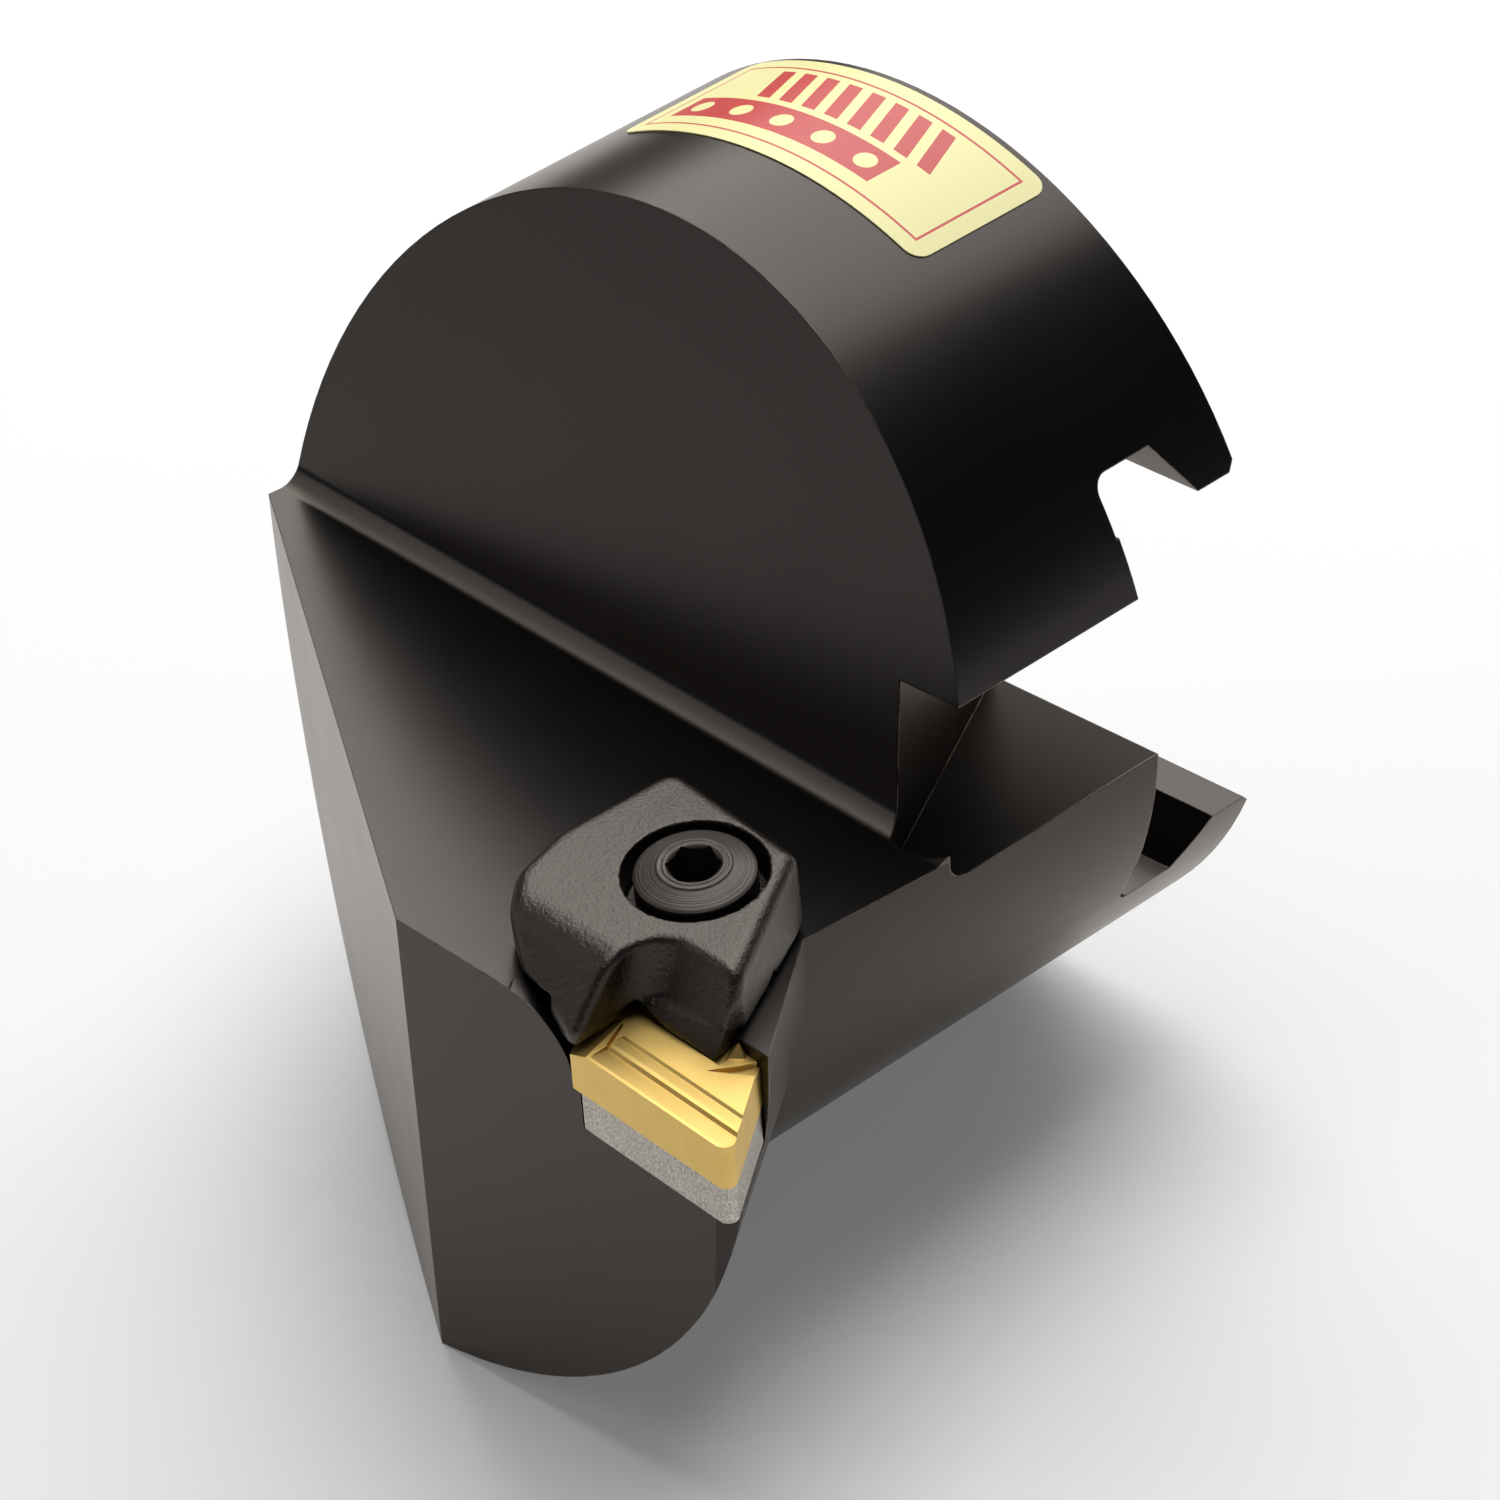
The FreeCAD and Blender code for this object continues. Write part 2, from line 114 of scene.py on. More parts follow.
def colour(code):
    """A linear colour from an sRGB hex code."""
    parts = [int(code[i:i + 2], 16) / 255 for i in (0, 2, 4)]
    return (*[c / 12.92 if c <= 0.04045 else ((c + 0.055) / 1.055) ** 2.4 for c in parts], 1.0)


def add(tree, kind, inputs=None, **settings):
    """A node with its settings, and its inputs as values or links."""
    made = tree.nodes.new(kind)
    for name, value in settings.items():
        setattr(made, name, value)
    for name, value in (inputs or {}).items():
        if isinstance(value, bpy.types.NodeSocket):
            tree.links.new(value, made.inputs[name])
        else:
            made.inputs[name].default_value = value
    return made


def material(name):
    made = bpy.data.materials.new(name)
    made.use_nodes = True
    made.node_tree.nodes.clear()
    return made, made.node_tree


def dress(piece, finish):
    piece.data.materials.clear()
    piece.data.materials.append(finish)


def leaning_frame(at, to_front, to_side, turn=0.0):
    """From a seat's own frame in mm to the shared one, its Z leaning as the seat does."""
    up = Vector((math.tan(math.radians(to_front)), math.tan(math.radians(to_side)), 1)).normalized()
    along = Vector((math.cos(math.radians(turn)), -math.sin(math.radians(turn)), 0))
    along = (along - up * along.dot(up)).normalized()
    turned = Matrix((along, up.cross(along), up)).transposed().to_4x4()
    return Matrix.Translation(Vector(at) * mm) @ turned @ Matrix.Scale(mm, 4)


pocket = leaning_frame(pocket_at, 3.4, 4.6, 1.6)
clamping = leaning_frame(clamp_at, 5.8, 4.8)


# ---- Materials ----

def worn_and_highlit_edges(tree, radius):
    """A normal eased over sharp edges, and a mask that is 1 where an edge is rubbed: partly wear,
    partly a painted highlight.
    """
    eased = add(tree, "ShaderNodeBevel", {"Radius": radius * mm}, samples=6)
    flat = add(tree, "ShaderNodeNewGeometry").outputs["Normal"]
    alike = add(tree, "ShaderNodeVectorMath", {0: eased.outputs["Normal"], 1: flat},
                operation="DOT_PRODUCT").outputs["Value"]
    mask = add(tree, "ShaderNodeMapRange", {"Value": alike, "From Min": 0.97, "From Max": 0.8})
    place = add(tree, "ShaderNodeTexCoord").outputs["Object"]
    patches = add(tree, "ShaderNodeTexNoise", {"Vector": place, "Scale": 1 / (2.5 * mm),
                                               "Detail": 4.0, "Roughness": 0.7})
    patches = add(tree, "ShaderNodeMapRange", {"Value": patches.outputs["Fac"],
                                               "From Min": 0.35, "From Max": 0.6})
    rubbed_and_highlit = add(tree, "ShaderNodeMath", {0: mask.outputs["Result"],
                                          1: patches.outputs["Result"]}, operation="MULTIPLY")
    return eased.outputs["Normal"], rubbed_and_highlit.outputs[0]


def black_oxide_steel():
    """Hardened steel, milled and turned, then blackened and oiled: a dark warm satin sheen
    with a very fine grain, and edges painted a little brighter: partly rubbed wear, partly a
    painted highlight."""
    made, tree = material("black_oxide_steel")
    place = add(tree, "ShaderNodeTexCoord").outputs["Object"]
    eased, edge = worn_and_highlit_edges(tree, 0.16)
    # Grain of 0.02 mm, drawn at 0.12 mm so that it shows
    grain = add(tree, "ShaderNodeTexNoise", {"Vector": place, "Scale": 1 / (0.12 * mm),
                                             "Detail": 2.0})
    cloud = add(tree, "ShaderNodeTexNoise", {"Vector": place, "Scale": 1 / (9 * mm),
                                             "Detail": 3.0})
    bump = add(tree, "ShaderNodeBump", {"Height": grain.outputs["Fac"], "Strength": 0.12,
                                        "Distance": 0.004 * mm, "Normal": eased})
    rough = add(tree, "ShaderNodeMapRange", {"Value": cloud.outputs["Fac"], "To Min": 0.26,
                                             "To Max": 0.31})
    # The cutter that rounded the corner between step and floor left a coarser strip; its paler
    # colour is a painted highlight along that rounded corner
    corner = add(tree, "ShaderNodeVectorMath", {0: place, 1: Vector(step_corner) * mm},
                 operation="SUBTRACT").outputs[0]
    sides = [add(tree, "ShaderNodeVectorMath", {0: corner, 1: Vector(normal).normalized()},
                 operation="DOT_PRODUCT").outputs["Value"]
             for normal in (step_normal, floor_normal)]
    near = add(tree, "ShaderNodeMath", {0: sides[0], 1: sides[1]}, operation="MINIMUM")
    far = add(tree, "ShaderNodeMath", {0: sides[0], 1: sides[1]}, operation="MAXIMUM")
    near = add(tree, "ShaderNodeMapRange", {"Value": near.outputs[0], "From Min": 0.0,
                                            "From Max": 0.12 * mm})
    far = add(tree, "ShaderNodeMapRange", {"Value": far.outputs[0], "From Min": 2.7 * mm,
                                           "From Max": 2.4 * mm})
    strip = add(tree, "ShaderNodeMath", {0: near.outputs["Result"], 1: far.outputs["Result"]},
                operation="MULTIPLY")
    rough = add(tree, "ShaderNodeMix", {"Factor": strip.outputs[0], 2: rough.outputs["Result"],
                                        3: 0.55})
    # Painted highlight: the rounded corner's strip is tinted paler
    tint = add(tree, "ShaderNodeMix", {"Factor": strip.outputs[0], 6: colour("403D3B"),
                                       7: colour("6E6760")}, data_type="RGBA")
    # The milled chip slot is painted darker as shade and made duller: all that lies inside the
    # round body's surface, behind the slanted wall, between the slot's ends
    spot = add(tree, "ShaderNodeSeparateXYZ", {0: place})
    round_part = add(tree, "ShaderNodeVectorMath", {0: place, 1: (0, 1, 1)}, operation="MULTIPLY")
    round_part = add(tree, "ShaderNodeVectorMath", {0: round_part.outputs[0]}, operation="LENGTH")
    behind_wall = add(tree, "ShaderNodeVectorMath", {0: place, 1: chip_slot_wall},
                      operation="DOT_PRODUCT")
    slot_shade_mask = add(tree, "ShaderNodeMath", {0: round_part.outputs["Value"], 1: (body_r - 0.2) * mm},
               operation="LESS_THAN")
    for value, limits, kind in ((behind_wall.outputs["Value"], (chip_slot_out,), "GREATER_THAN"),
                                (spot.outputs["X"], chip_slot_x, "COMPARE"),
                                (spot.outputs["Z"], chip_slot_z, "COMPARE")):
        part = add(tree, "ShaderNodeMath", {0: value, **{i + 1: limit * mm for i, limit
                                                         in enumerate(limits)}}, operation=kind)
        slot_shade_mask = add(tree, "ShaderNodeMath", {0: slot_shade_mask.outputs[0], 1: part.outputs[0]},
                   operation="MULTIPLY")
    rough = add(tree, "ShaderNodeMix", {"Factor": slot_shade_mask.outputs[0], 2: rough.outputs[0], 3: 0.42})
    tint = add(tree, "ShaderNodeMix", {"Factor": slot_shade_mask.outputs[0], 6: tint.outputs[2],
                                       7: colour("272422")}, data_type="RGBA")
    # Edges painted paler: partly rubbed wear, partly a painted highlight
    tint = add(tree, "ShaderNodeMix", {"Factor": edge, 6: tint.outputs[2], 7: colour("968F89")},
               data_type="RGBA")
    shader = add(tree, "ShaderNodeBsdfPrincipled", {
        "Base Color": tint.outputs[2], "Metallic": 1.0, "Roughness": rough.outputs[0],
        "Specular Tint": colour("FFF9F4"), "Normal": bump.outputs["Normal"]})
    add(tree, "ShaderNodeOutputMaterial", {"Surface": shader.outputs["BSDF"]})
    return made


def cast_steel():
    """Investment cast steel, blackened: soft edges and a sandy skin that glitters."""
    made, tree = material("blackened_cast_steel")
    place = add(tree, "ShaderNodeTexCoord").outputs["Object"]
    grain = add(tree, "ShaderNodeTexNoise", {"Vector": place, "Scale": 1 / (0.32 * mm),
                                             "Detail": 3.0, "Roughness": 0.7})
    lumps = add(tree, "ShaderNodeTexNoise", {"Vector": place, "Scale": 1 / (1.6 * mm),
                                             "Detail": 2.0})
    height = add(tree, "ShaderNodeMath", {0: lumps.outputs["Fac"], 1: grain.outputs["Fac"]},
                 operation="ADD")
    bump = add(tree, "ShaderNodeBump", {"Height": height.outputs[0], "Strength": 0.9,
                                        "Distance": 0.09 * mm})
    shader = add(tree, "ShaderNodeBsdfPrincipled", {
        "Base Color": colour("524D49"), "Metallic": 1.0, "Roughness": 0.34,
        "Normal": bump.outputs["Normal"]})
    add(tree, "ShaderNodeOutputMaterial", {"Surface": shader.outputs["BSDF"]})
    return made


def turned_steel():
    """Alloy steel screw, its head faced on a lathe and blackened: fine rings round the axis."""
    made, tree = material("turned_black_steel")
    place = add(tree, "ShaderNodeTexCoord").outputs["Object"]
    centre, axis = clamping.translation, clamping.col[2].xyz.normalized()
    arm = add(tree, "ShaderNodeVectorMath", {0: place, 1: centre}, operation="SUBTRACT")
    across = add(tree, "ShaderNodeVectorMath", {0: arm.outputs[0], 1: axis},
                 operation="CROSS_PRODUCT")
    radius = add(tree, "ShaderNodeVectorMath", {0: across.outputs[0]}, operation="LENGTH")
    rings = add(tree, "ShaderNodeTexNoise", {"W": radius.outputs["Value"],
                                             "Scale": 1 / (screw_feed * mm), "Detail": 2.0},
                noise_dimensions="1D")
    eased, edge = worn_and_highlit_edges(tree, 0.15)
    bump = add(tree, "ShaderNodeBump", {"Height": rings.outputs["Fac"], "Strength": 1.0,
                                        "Distance": 0.03 * mm, "Normal": eased})
    # Edges painted paler: partly rubbed wear, partly a painted highlight
    tint = add(tree, "ShaderNodeMix", {"Factor": edge, 6: colour("5C5652"), 7: colour("A8A19A")},
               data_type="RGBA")
    shader = add(tree, "ShaderNodeBsdfPrincipled", {
        "Base Color": tint.outputs[2], "Metallic": 1.0, "Roughness": 0.5,
        "Normal": bump.outputs["Normal"]})
    add(tree, "ShaderNodeOutputMaterial", {"Surface": shader.outputs["BSDF"]})
    return made


def nitride_coating():
    """Hard metal under a vapour deposited titanium nitride layer: a satin gold."""
    made, tree = material("titanium_nitride_coating")
    place = add(tree, "ShaderNodeTexCoord").outputs["Object"]
    # Pressed and sintered powder under the coating, 0.01 mm grains drawn at 0.1 mm
    grain = add(tree, "ShaderNodeTexNoise", {"Vector": place, "Scale": 1 / (0.1 * mm),
                                             "Detail": 2.0})
    cloud = add(tree, "ShaderNodeTexNoise", {"Vector": place, "Scale": 1 / (2.5 * mm),
                                             "Detail": 3.0})
    bump = add(tree, "ShaderNodeBump", {"Height": grain.outputs["Fac"], "Strength": 0.12,
                                        "Distance": 0.01 * mm})
    tint = add(tree, "ShaderNodeMix", {"Factor": cloud.outputs["Fac"], 6: colour("E3BF6A"),
                                       7: colour("EDCD82")}, data_type="RGBA")
    shader = add(tree, "ShaderNodeBsdfPrincipled", {
        "Base Color": tint.outputs[2], "Metallic": 1.0, "Roughness": 0.5,
        "Normal": bump.outputs["Normal"]})
    add(tree, "ShaderNodeOutputMaterial", {"Surface": shader.outputs["BSDF"]})
    return made


def hard_metal():
    """Sintered tungsten carbide, ground but not coated: a pale grey with a fine speckle."""
    made, tree = material("ground_hard_metal")
    place = add(tree, "ShaderNodeTexCoord").outputs["Object"]
    # Grains of a few thousandths of a millimetre, drawn at 0.22 mm
    grain = add(tree, "ShaderNodeTexNoise", {"Vector": place, "Scale": 1 / (0.22 * mm),
                                             "Detail": 2.0})
    speckle = add(tree, "ShaderNodeMapRange", {"Value": grain.outputs["Fac"], "From Min": 0.2,
                                               "From Max": 0.8})
    bump = add(tree, "ShaderNodeBump", {"Height": grain.outputs["Fac"], "Strength": 0.6,
                                        "Distance": 0.03 * mm})
    tint = add(tree, "ShaderNodeMix", {"Factor": speckle.outputs["Result"], 6: colour("837D75"),
                                       7: colour("E0D9CF")}, data_type="RGBA")
    shader = add(tree, "ShaderNodeBsdfPrincipled", {
        "Base Color": tint.outputs[2], "Metallic": 1.0, "Roughness": 0.45,
        "Normal": bump.outputs["Normal"]})
    add(tree, "ShaderNodeOutputMaterial", {"Surface": shader.outputs["BSDF"]})
    return made


def bright_steel():
    """Spring steel, drawn or ground bright and oiled: the pins, the coil and the ring."""
    made, tree = material("bright_spring_steel")
    place = add(tree, "ShaderNodeTexCoord").outputs["Object"]
    grain = add(tree, "ShaderNodeTexNoise", {"Vector": place, "Scale": 1 / (0.1 * mm),
                                             "Detail": 2.0})
    rough = add(tree, "ShaderNodeMapRange", {"Value": grain.outputs["Fac"], "To Min": 0.22,
                                             "To Max": 0.34})
    shader = add(tree, "ShaderNodeBsdfPrincipled", {
        "Base Color": colour("9A9793"), "Metallic": 1.0, "Roughness": rough.outputs["Result"]})
    add(tree, "ShaderNodeOutputMaterial", {"Surface": shader.outputs["BSDF"]})
    return made


def printed_film(length, width):
    """Pale yellow polyester film printed in red, with a gloss that washes the red out.
    Its UV map is in millimetres from the sheet's middle."""
    made, tree = material("printed_polyester_film")
    uv = add(tree, "ShaderNodeUVMap", uv_map="print")
    spot = add(tree, "ShaderNodeSeparateXYZ", {0: uv.outputs["UV"]})
    slant = add(tree, "ShaderNodeMath", {0: spot.outputs["Y"], 1: -0.4, 2: spot.outputs["X"]},
                operation="MULTIPLY_ADD")
    slanted = add(tree, "ShaderNodeCombineXYZ", {"X": slant.outputs[0], "Y": spot.outputs["Y"]})
    # Distance outside three rectangles: the frame line, a band in front, a field behind it
    distances = []
    for point, middle, half in (
            (uv, (0, 0, 0), (length / 2 - 1.82, width / 2 - 1.62, 0)),
            (uv, (-3.0, 2.6, 0), (length / 2 - 6.2, 2.0, 0)),
            (slanted, (1.35, -2.8, 0), (10.8, 2.6, 0))):
        reach = add(tree, "ShaderNodeVectorMath", {0: point.outputs[0], 1: middle},
                    operation="SUBTRACT")
        reach = add(tree, "ShaderNodeVectorMath", {0: reach.outputs[0]}, operation="ABSOLUTE")
        reach = add(tree, "ShaderNodeVectorMath", {0: reach.outputs[0], 1: half},
                    operation="SUBTRACT")
        reach = add(tree, "ShaderNodeSeparateXYZ", {0: reach.outputs[0]})
        distances.append(add(tree, "ShaderNodeMath", {0: reach.outputs["X"], 1: reach.outputs["Y"]},
                             operation="MAXIMUM").outputs[0])
    line = add(tree, "ShaderNodeMath", {0: distances[0], 1: 0.0, 2: 0.12}, operation="COMPARE")
    band = add(tree, "ShaderNodeMath", {0: distances[1], 1: 0.0}, operation="LESS_THAN")
    field = add(tree, "ShaderNodeMath", {0: distances[2], 1: 0.0}, operation="LESS_THAN")
    # Five discs left out of the band, slanted bars in the field
    along = add(tree, "ShaderNodeMath", {0: spot.outputs["X"], 1: 3.0}, operation="ADD")
    along = add(tree, "ShaderNodeMath", {0: along.outputs[0], 1: 2.45, 2: -2.45}, operation="WRAP")
    across = add(tree, "ShaderNodeMath", {0: spot.outputs["Y"], 1: 2.6}, operation="SUBTRACT")
    disc = add(tree, "ShaderNodeCombineXYZ", {"X": along.outputs[0], "Y": across.outputs[0]})
    disc = add(tree, "ShaderNodeVectorMath", {0: disc.outputs[0]}, operation="LENGTH")
    disc = add(tree, "ShaderNodeMath", {0: disc.outputs["Value"], 1: 1.05},
               operation="GREATER_THAN")
    bars = add(tree, "ShaderNodeMath", {0: slant.outputs[0], 1: 1.35, 2: -1.35}, operation="WRAP")
    bars = add(tree, "ShaderNodeMath", {0: bars.outputs[0]}, operation="ABSOLUTE")
    bars = add(tree, "ShaderNodeMath", {0: bars.outputs[0], 1: 0.78}, operation="LESS_THAN")
    band = add(tree, "ShaderNodeMath", {0: band.outputs[0], 1: disc.outputs[0]},
               operation="MULTIPLY")
    bars = add(tree, "ShaderNodeMath", {0: bars.outputs[0], 1: field.outputs[0]},
               operation="MULTIPLY")
    ink = add(tree, "ShaderNodeMath", {0: band.outputs[0], 1: bars.outputs[0]},
              operation="MAXIMUM")
    ink = add(tree, "ShaderNodeMath", {0: ink.outputs[0], 1: line.outputs[0]},
              operation="MAXIMUM")
    tint = add(tree, "ShaderNodeMix", {"Factor": ink.outputs[0], 6: colour("FFF8AE"),
                                       7: colour("D3261C")}, data_type="RGBA")
    shader = add(tree, "ShaderNodeBsdfPrincipled", {
        "Base Color": tint.outputs[2], "Roughness": 0.38, "Specular IOR Level": 0.6})
    add(tree, "ShaderNodeOutputMaterial", {"Surface": shader.outputs["BSDF"]})
    return made


# ---- Shapes ----

def smooth(piece):
    """Smooth shading over the loose triangles of a node, sharp at its edges."""
    piece.data.polygons.foreach_set("use_smooth", [True] * len(piece.data.polygons))
    weld = piece.modifiers.new("weld", "WELD")
    weld.merge_threshold = 1e-6
    split = piece.modifiers.new("sharp_edges", "EDGE_SPLIT")
    split.split_angle = math.radians(node_sharp_angle)
    split.use_edge_sharp = False
    normals = piece.modifiers.new("flat_faces_first", "WEIGHTED_NORMAL")
    normals.weight = 100
    normals.keep_sharp = True


def new_piece(name, mesh):
    made = bpy.data.objects.new(name, mesh)
    bpy.context.scene.collection.objects.link(made)
    return made


def prism(name, ring, push):
    """Closed prism over a ring of points, all in mm."""
    bed = bmesh.new()
    low = [bed.verts.new(p) for p in ring]
    high = [bed.verts.new(Vector(p) + Vector(push)) for p in ring]
    bed.faces.new(low)
    bed.faces.new(high)
    for i in range(len(ring)):
        j = (i + 1) % len(ring)
        bed.faces.new((low[i], low[j], high[j], high[i]))
    bmesh.ops.recalc_face_normals(bed, faces=bed.faces)
    mesh = bpy.data.meshes.new(name)
    bed.to_mesh(mesh)
    bed.free()
    return new_piece(name, mesh)


def hull(name, points):
    bed = bmesh.new()
    for p in points:
        bed.verts.new(p)
    bmesh.ops.convex_hull(bed, input=bed.verts)
    bmesh.ops.recalc_face_normals(bed, faces=bed.faces)
    mesh = bpy.data.meshes.new(name)
    bed.to_mesh(mesh)
    bed.free()
    return new_piece(name, mesh)


def baked(piece):
    """The piece's mesh with its modifiers applied, and the modifiers gone."""
    view = piece.evaluated_get(bpy.context.evaluated_depsgraph_get())
    mesh = bpy.data.meshes.new_from_object(view)
    piece.modifiers.clear()
    piece.data = mesh


def carve(piece, tool, operation="DIFFERENCE"):
    cut = piece.modifiers.new("cut", "BOOLEAN")
    cut.operation, cut.object, cut.solver = operation, tool, "EXACT"
    baked(piece)
    bpy.data.objects.remove(tool)


def rounded(corners, radii, steps):
    """Points of a plan polygon with round corners."""
    points = []
    for i, (corner, r) in enumerate(zip(corners, radii)):
        here = Vector(corner)
        to_last = (Vector(corners[i - 1]) - here).normalized()
        to_next = (Vector(corners[(i + 1) % len(corners)]) - here).normalized()
        if r == 0:
            points.append(here)
            continue
        half = to_last.angle(to_next) / 2
        centre = here + (to_last + to_next).normalized() * (r / math.sin(half))
        start = here + to_last * (r / math.tan(half)) - centre
        end = here + to_next * (r / math.tan(half)) - centre
        sweep = start.angle_signed(end)
        for k in range(steps + 1):
            points.append(centre + Matrix.Rotation(-sweep * k / steps, 2) @ start)
    return points


def insert_piece():
    """Parallelogram plate: a chip groove along both long edges, a blunt corner, a boss."""
    w, l, t = insert_size
    lean = w / math.tan(math.radians(nose_angle))
    corners = [(0, 0), (0, -l), (-w, -l - lean), (-w, -lean)]
    outline = rounded(corners, [nose_r, 0, nose_r, 0], nose_steps)
    plate = prism("coated_insert", [(*p, -t) for p in outline], (0, 0, t))
    middle = Matrix.Translation((-w / 2, -(l + lean) / 2, 0))
    half_turn = middle @ Matrix.Rotation(math.pi, 4, "Z") @ middle.inverted()
    for turn, profile in ((Matrix.Identity(4), chip_groove), (half_turn, far_groove)):
        ring = [(x, 8, z) for x, z in profile + [(profile[-1][0], 1), (profile[0][0], 1)]]
        tool = prism("groove", ring, (0, -groove_end - 8, 0))
        tool.data.transform(turn)
        carve(plate, tool)
    # The blunt corner falls away beyond a slit
    carve(plate, hull("blunt_corner", [(0.6, -16.3, 0.04), (-5.0, -17.5, 0.04), (0.6, -16.3, 2),
                                       (-5.0, -17.5, 2), (0.6, -19.6, -1.35), (-5.0, -20.8, -1.0),
                                       (0.6, -19.6, 2), (-5.0, -20.8, 2)]))
    carve(plate, prism("slit", [(-2.0, -16.0, -0.6), (-4.6, -17.2, -0.6), (-4.75, -17.5, -0.6),
                                (-2.2, -16.5, -0.6)], (0, 0, 3)))
    carve(plate, prism("corner_notch", [(-5.4, -8.55, -0.5), (-7.7, -6.95, -0.5),
                                        (-10, -5.9, -0.5), (-9.5, -4.0, -0.5),
                                        (-7.5, -5.4, -0.5)], (0, 0, 3)))
    boss = hull("boss", [(-6.74, -8.45, -0.6), (-8.13, -6.8, -0.6), (-8.7, -6.9, -0.6),
                         (-8.7, -9.6, -0.6), (-8.7, -8.3, 0.95), (-8.6, -8.2, 0.95)])
    carve(plate, boss, "UNION")
    hone = plate.modifiers.new("hone", "BEVEL")
    hone.width, hone.segments, hone.limit_method = edge_hone, 2, "ANGLE"
    hone.angle_limit = math.radians(32)
    baked(plate)
    plate.data.transform(pocket)
    plate.data.shade_smooth()
    plate.data.set_sharp_from_angle(angle=math.radians(7))
    return plate


def turned_solid(name, outline, steps=160):
    """Solid of revolution about Z, in mm, from an outline that starts and ends on the axis."""
    bed = bmesh.new()
    rings = []
    for r, z in outline:
        if r == 0:
            rings.append([bed.verts.new((0, 0, z))])
        else:
            rings.append([bed.verts.new((r * math.cos(2 * math.pi * i / steps),
                                         r * math.sin(2 * math.pi * i / steps), z))
                          for i in range(steps)])
    for a, b in zip(rings, rings[1:]):
        for i in range(steps):
            j = (i + 1) % steps
            corners = [a[i % len(a)], a[j % len(a)], b[j % len(b)], b[i % len(b)]]
            bed.faces.new(list(dict.fromkeys(corners)))
    bmesh.ops.recalc_face_normals(bed, faces=bed.faces)
    mesh = bpy.data.meshes.new(name)
    bed.to_mesh(mesh)
    bed.free()
    return new_piece(name, mesh)


def clamp_piece():
    """The clamp with its cast skin: every edge soft, its finger down on the insert."""
    cast_clamp = new_piece("cast_clamp", nodes["clamp"].data.copy())
    bed = bmesh.new()
    bed.from_mesh(cast_clamp.data)
    bmesh.ops.remove_doubles(bed, verts=bed.verts, dist=1e-7)
    bed.to_mesh(cast_clamp.data)
    bed.free()
    cast_clamp.data.transform(clamping.inverted())
    # Three sections of the pad along the finger: its foot rises toward the claw's arch
    pad = hull("finger_pad", [(x, y, z) for y, rise in ((3.0, 1.5), (6.0, 0), (11.4, 0))
                              for x, z in ((9.9, -6.36 + rise), (8.68, -4.2),
                                           (7.2, -6.4 + rise), (7.0, -4.2))])
    carve(cast_clamp, pad, "UNION")
    skin = cast_clamp.modifiers.new("skin", "REMESH")
    skin.mode, skin.voxel_size, skin.use_smooth_shade = "VOXEL", clamp_voxel, True
    soften = cast_clamp.modifiers.new("soften", "SMOOTH")
    soften.factor, soften.iterations = 0.5, 5
    baked(cast_clamp)
    cast_clamp.data.transform(clamping)
    return cast_clamp


def screw_piece():
    """Socket head screw: ring round the socket, a step, a faced cone, then the shank."""
    screw = turned_solid("socket_head_screw", [
        (0, 0.8), (2.5, 0.8), (2.56, 0.72), (2.64, 0.7), (2.74, 0.7), (2.8, 0.78), (2.98, 0.76),
        (3.08, 0.62), (4.6, 0.1), (4.8, 0.0), (4.91, -0.09), (4.95, -0.22), (4.95, -3.4),
        (3.0, -3.4), (3.0, -7.1), (2.3, -7.1), (2.3, -7.9), (3.0, -7.9), (3.0, -24.3),
        (2.3, -25.0), (0, -25.0)])
    socket = prism("socket", [(socket_corner * math.cos(math.radians(60 * i + 12)),
                               socket_corner * math.sin(math.radians(60 * i + 12)), -2.95)
                              for i in range(6)], (0, 0, 6))
    carve(screw, socket)
    mouth = turned_solid("socket_mouth", [(0, 1.0), (2.56, 1.0), (1.9, 0.46), (0, 0.46)], 120)
    carve(screw, mouth)
    screw.data.transform(clamping)
    screw.data.shade_smooth()
    screw.data.set_sharp_from_angle(angle=math.radians(14))
    return screw


def coil_tree():
    """Round wire wound to a coil spring; sizes in metres."""
    tree = bpy.data.node_groups.new("coil_spring", "GeometryNodeTree")
    for name, kind in (("Coil Radius", "NodeSocketFloat"), ("Wire Radius", "NodeSocketFloat"),
                       ("Turns", "NodeSocketFloat"), ("Height", "NodeSocketFloat"),
                       ("Material", "NodeSocketMaterial")):
        tree.interface.new_socket(name, in_out="INPUT", socket_type=kind)
    tree.interface.new_socket("Geometry", in_out="OUTPUT", socket_type="NodeSocketGeometry")
    given = add(tree, "NodeGroupInput").outputs
    coil = add(tree, "GeometryNodeCurveSpiral", {
        "Resolution": 48, "Rotations": given["Turns"], "Start Radius": given["Coil Radius"],
        "End Radius": given["Coil Radius"], "Height": given["Height"]})
    wire = add(tree, "GeometryNodeCurvePrimitiveCircle", {"Resolution": 16,
                                                          "Radius": given["Wire Radius"]})
    body = add(tree, "GeometryNodeCurveToMesh", {"Curve": coil.outputs["Curve"],
                                                 "Profile Curve": wire.outputs["Curve"],
                                                 "Fill Caps": True})
    real = add(tree, "GeometryNodeRealizeInstances", {"Geometry": body.outputs["Mesh"]})
    dressed = add(tree, "GeometryNodeSetMaterial", {"Geometry": real.outputs["Geometry"],
                                                    "Material": given["Material"]})
    add(tree, "NodeGroupOutput", {"Geometry": dressed.outputs["Geometry"]})
    return tree


